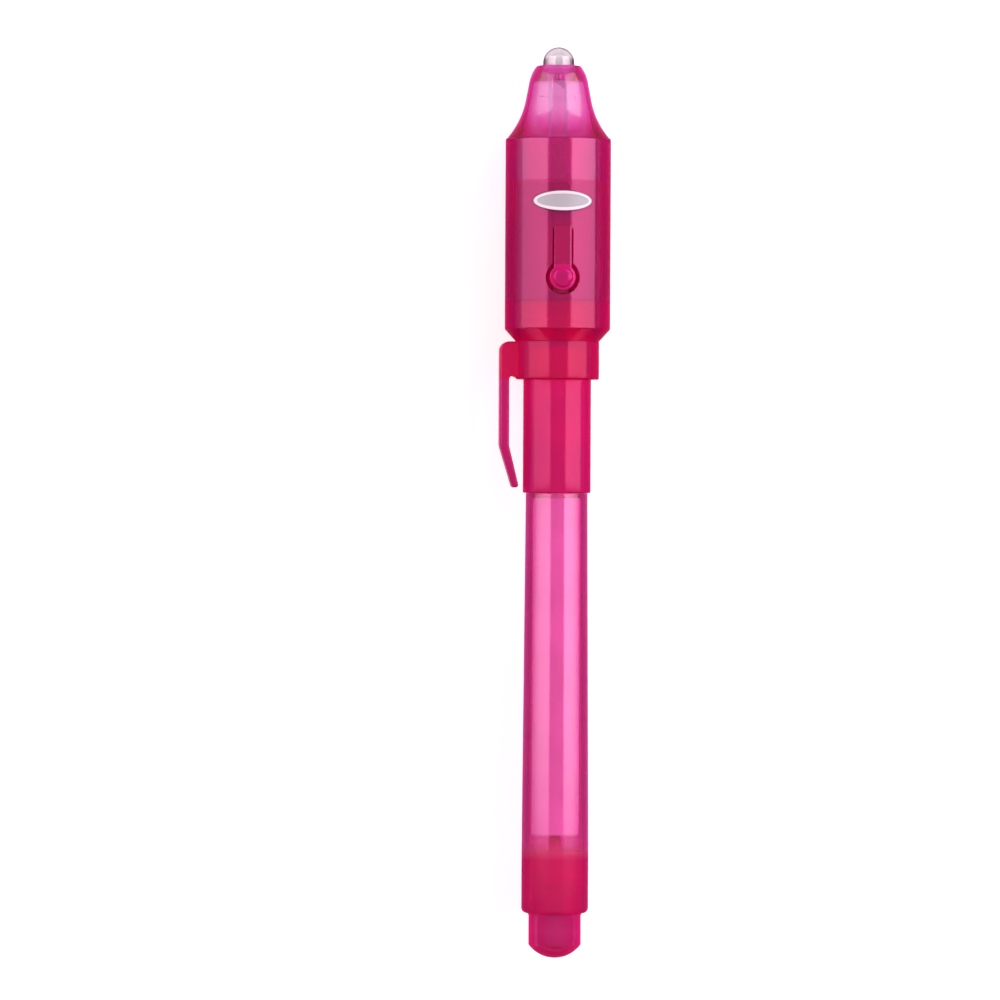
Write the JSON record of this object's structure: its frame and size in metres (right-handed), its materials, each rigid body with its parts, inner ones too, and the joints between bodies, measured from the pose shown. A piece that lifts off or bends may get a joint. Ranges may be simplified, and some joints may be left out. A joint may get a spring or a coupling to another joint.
{
  "type": "uv invisible ink pen",
  "caption": "Slim translucent felt-tip pen for invisible ink, with a pull-off cap that holds a UV lamp, its button cells, a push-button switch and a pocket clip.",
  "frame": {"origin": "on the pen's axis at the barrel's tail face, where a stand or sleeve pushed over the tail plug stops", "axes": "+Y along the pen from tail to lamp, +Z out of the press button, -X out of the pocket clip"},
  "size_m": [0.0172, 0.1415, 0.017],
  "materials": {
    "pink_clear": "translucent pink moulded plastic, glossy",
    "white_fibre": "bonded polyester fibre",
    "clear_film": "thin clear film",
    "label": "blank printed oval",
    "clear_epoxy": "water-clear epoxy",
    "tinned_steel": "tinned wire",
    "spring_bronze": "rolled phosphor-bronze strip",
    "cell_steel": "nickel-plated steel",
    "seal_nylon": "nylon seal ring",
    "chip": "semiconductor die"
  },
  "bodies": {
    "pen": {"barrel": "pink_clear", "end_plug": "pink_clear", "ink_reservoir": "white_fibre", "reservoir_wrap": "clear_film", "front_section": "pink_clear", "nib": "white_fibre"},
    "cap": {"cap_sleeve": "pink_clear", "head_shell": "pink_clear", "label_plate": "label", "battery_holder": "pink_clear", "cell_cans": "cell_steel", "cell_seals": "seal_nylon", "cell_caps": "cell_steel", "negative_contact": "spring_bronze"},
    "nose": {"nose_cone": "pink_clear", "led_lens": "clear_epoxy", "led_cathode": "tinned_steel", "led_anode": "tinned_steel", "led_chip": "chip"},
    "button": {"press_button": "pink_clear"},
    "leaf": {"switch_leaf": "spring_bronze"},
    "clip": {"pocket_clip": "pink_clear"}
  },
  "joints": [
    {"name": "cap_pull", "type": "slide", "parent": "pen", "child": "cap", "axis": [0, 1, 0], "range_m": [0, 0.03]},
    {"name": "nose_pull", "type": "slide", "parent": "cap", "child": "nose", "axis": [0, 1, 0], "range_m": [0, 0.018]},
    {"name": "button_press", "type": "hinge", "parent": "cap", "child": "button", "pos_m": [0, 0.106, 0.00775], "axis": [1, 0, 0], "range_deg": [0, 4.2], "stiffness_Nm_per_rad": 0.02},
    {"name": "leaf_bend", "type": "hinge", "parent": "cap", "child": "leaf", "pos_m": [0, 0.1115, 0.00553], "axis": [1, 0, 0], "range_deg": [0, 2.5]},
    {"name": "clip_flex", "type": "hinge", "parent": "cap", "child": "clip", "pos_m": [-0.00813, 0.0836, 0], "axis": [0, 0, -1], "range_deg": [0, 6], "stiffness_Nm_per_rad": 0.03}
  ],
  "couplings": [
    {"joint": "leaf_bend", "follows": "button_press", "ratio": 0.58}
  ]
}
